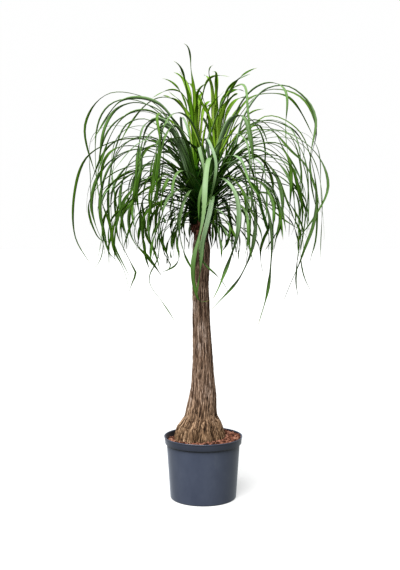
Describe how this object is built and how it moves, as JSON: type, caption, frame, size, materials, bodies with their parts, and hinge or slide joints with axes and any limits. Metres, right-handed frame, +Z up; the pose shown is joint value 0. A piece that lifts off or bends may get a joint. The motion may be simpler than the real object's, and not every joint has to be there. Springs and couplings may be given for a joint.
{
  "type": "potted ponytail palm",
  "caption": "Ponytail palm in a round nursery pot: bark-covered trunk with a swollen foot in lava chips, and long arching leaves on its heads.",
  "frame": {"origin": "centre of the pot's flat underside", "axes": "+Z up along the pot's axis and the trunk; +X to the right of the front view and -Y towards its viewer"},
  "size_m": [1.0013, 0.8348, 1.775],
  "materials": {
    "pot_plastic": "satin",
    "potting_soil": "matte",
    "lava_chips": "matte",
    "bark": "matte",
    "leaf": "satin",
    "young_leaf": "satin"
  },
  "bodies": {
    "root": {"pot": "pot_plastic", "soil": "potting_soil", "lava_chips": "lava_chips", "trunk": "bark", "crown_leaves": "leaf", "young_leaves_left": "young_leaf", "young_leaves_right": "young_leaf"}
  },
  "joints": []
}
